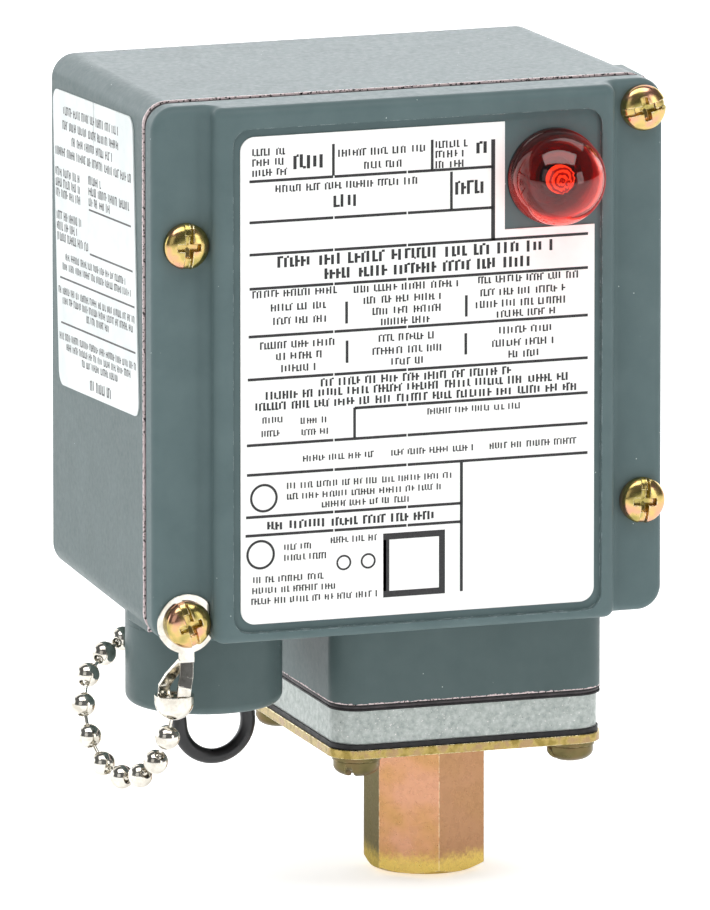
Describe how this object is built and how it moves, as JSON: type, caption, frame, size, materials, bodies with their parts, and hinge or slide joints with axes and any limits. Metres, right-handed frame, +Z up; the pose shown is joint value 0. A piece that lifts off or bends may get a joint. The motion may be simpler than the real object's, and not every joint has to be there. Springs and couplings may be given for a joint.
{
  "type": "pressure switch",
  "caption": "Pressure switch in a cast box with screwed cover, pilot lens, conduit hub and a female pipe port on a hex fitting below.",
  "frame": {"origin": "centre of the pressure port's mouth, on the lower face of the hex fitting", "axes": "+Z up along the pressure axis, -Y out of the front cover, +X to the right seen from the front"},
  "size_m": [0.1171, 0.091, 0.169],
  "materials": {
    "box_paint": "semi-gloss grey enamel over a die casting",
    "cover_paint": "semi-gloss blue-grey enamel over a die casting",
    "black_rubber": "matt moulded and die-cut rubber",
    "label_film": "printed adhesive film",
    "yellow_zinc": "zinc plate with yellow chromate",
    "olive_zinc": "zinc plate with olive chromate",
    "bare_casting": "unpainted die casting, slightly rough",
    "red_lens": "transparent red polycarbonate",
    "bright_zinc": "clear zinc plate",
    "black_moulding": "black moulded plastic",
    "lamp_glass": "clear glass",
    "lead_insulation": "PVC insulation",
    "nickel": "nickel plate",
    "spring_bronze": "rolled phosphor bronze",
    "machined_steel": "turned and stamped steel",
    "brass": "machined brass",
    "spring_steel": "oil-tempered spring wire",
    "phenolic": "dark moulded phenolic",
    "silver_contact": "silver alloy",
    "green_zinc": "green dyed zinc plate"
  },
  "bodies": {
    "housing": {"anchor_screw": "nickel", "arm_pin": "machined_steel", "bracket_screws": "bright_zinc", "chain_anchor": "nickel", "chain_tab": "nickel", "conduit_socket": "box_paint", "cover_gasket": "black_rubber", "cover_screws": "yellow_zinc", "diaphragm": "spring_bronze", "enclosure_body": "box_paint", "fixed_contacts": "silver_contact", "flange_gasket": "black_rubber", "flange_plate": "yellow_zinc", "flange_screws": "olive_zinc", "flange_washers": "olive_zinc", "frame_screws": "bright_zinc", "front_cover": "cover_paint", "front_label": "label_film", "ground_screw": "green_zinc", "hex_fitting": "yellow_zinc", "lamp_holder": "black_moulding", "lamp_leads": "lead_insulation", "lens_gasket": "black_rubber", "lens_nut": "bright_zinc", "lower_diaphragm_gasket": "black_rubber", "neon_lamp": "lamp_glass", "pilot_lens": "red_lens", "pin_clips": "spring_steel", "pivot_bracket": "bright_zinc", "pivot_pin": "machined_steel", "pressure_housing": "bare_casting", "rod_guide": "brass", "side_label": "label_film", "spring_frame": "bright_zinc", "switch_base": "phenolic", "switch_bracket": "bright_zinc", "switch_cover": "phenolic", "switch_screws": "bright_zinc", "terminal_screws": "bright_zinc", "terminals": "brass", "upper_diaphragm_gasket": "black_rubber"},
    "piston": {"pressure_plate": "bright_zinc", "push_rod": "machined_steel"},
    "lever": {"lever": "machined_steel", "lower_spring_seat": "machined_steel"},
    "plunger": {"switch_plunger": "phenolic"},
    "contact": {"contact_arm": "spring_bronze"},
    "range_seat": {"upper_spring_seat": "machined_steel", "range_spring": "spring_steel"},
    "range_screw": {"range_screw": "bright_zinc", "range_screw_clip": "spring_steel"},
    "chain": {"chain_beads": "nickel", "chain_links": "nickel"},
    "plug": {"conduit_plug": "black_moulding"}
  },
  "joints": [
    {"name": "piston_slide", "type": "slide", "parent": "housing", "child": "piston", "axis": [0, 0, 1], "range_m": [0, 0.0008], "stiffness_N_per_m": 2000, "springref_m": -0.002},
    {"name": "lever_tilt", "type": "hinge", "parent": "housing", "child": "lever", "pos_m": [-0.0292, 0, 0.068], "axis": [0, -1, 0], "range_deg": [0, 1.6], "deforming": ["range_spring"]},
    {"name": "plunger_slide", "type": "slide", "parent": "housing", "child": "plunger", "axis": [0, 0, 1], "range_m": [0, 0.0015]},
    {"name": "contact_tilt", "type": "hinge", "parent": "housing", "child": "contact", "pos_m": [0.0248, 0.01, 0.093], "axis": [-1, 0, 0], "range_deg": [0, 8.5]},
    {"name": "range_turn", "type": "hinge", "parent": "housing", "child": "range_screw", "pos_m": [0, 0, 0.141], "axis": [0, 0, 1], "range_deg": [-1810, 1810]},
    {"name": "range_seat_slide", "type": "slide", "parent": "housing", "child": "range_seat", "axis": [0, 0, 1], "range_m": [-0.0075, 0.0075], "deforming": ["range_spring"]},
    {"name": "chain_swing", "type": "hinge", "parent": "housing", "child": "chain", "pos_m": [-0.0672, -0.041, 0.0461], "axis": [0.2396, 0.9582, 0.1563], "range_deg": [-20, 5]},
    {"name": "plug_pull", "type": "slide", "parent": "housing", "child": "plug", "axis": [0, 0, -1], "range_m": [0, 0.03]}
  ],
  "couplings": [
    {"joint": "lever_tilt", "follows": "piston_slide", "rad_per_m": 34.247},
    {"joint": "plunger_slide", "follows": "piston_slide", "ratio": 1.8493},
    {"joint": "contact_tilt", "follows": "piston_slide", "rad_per_m": 184.93},
    {"joint": "range_turn", "follows": "range_seat_slide", "rad_per_m": -4188.8}
  ]
}
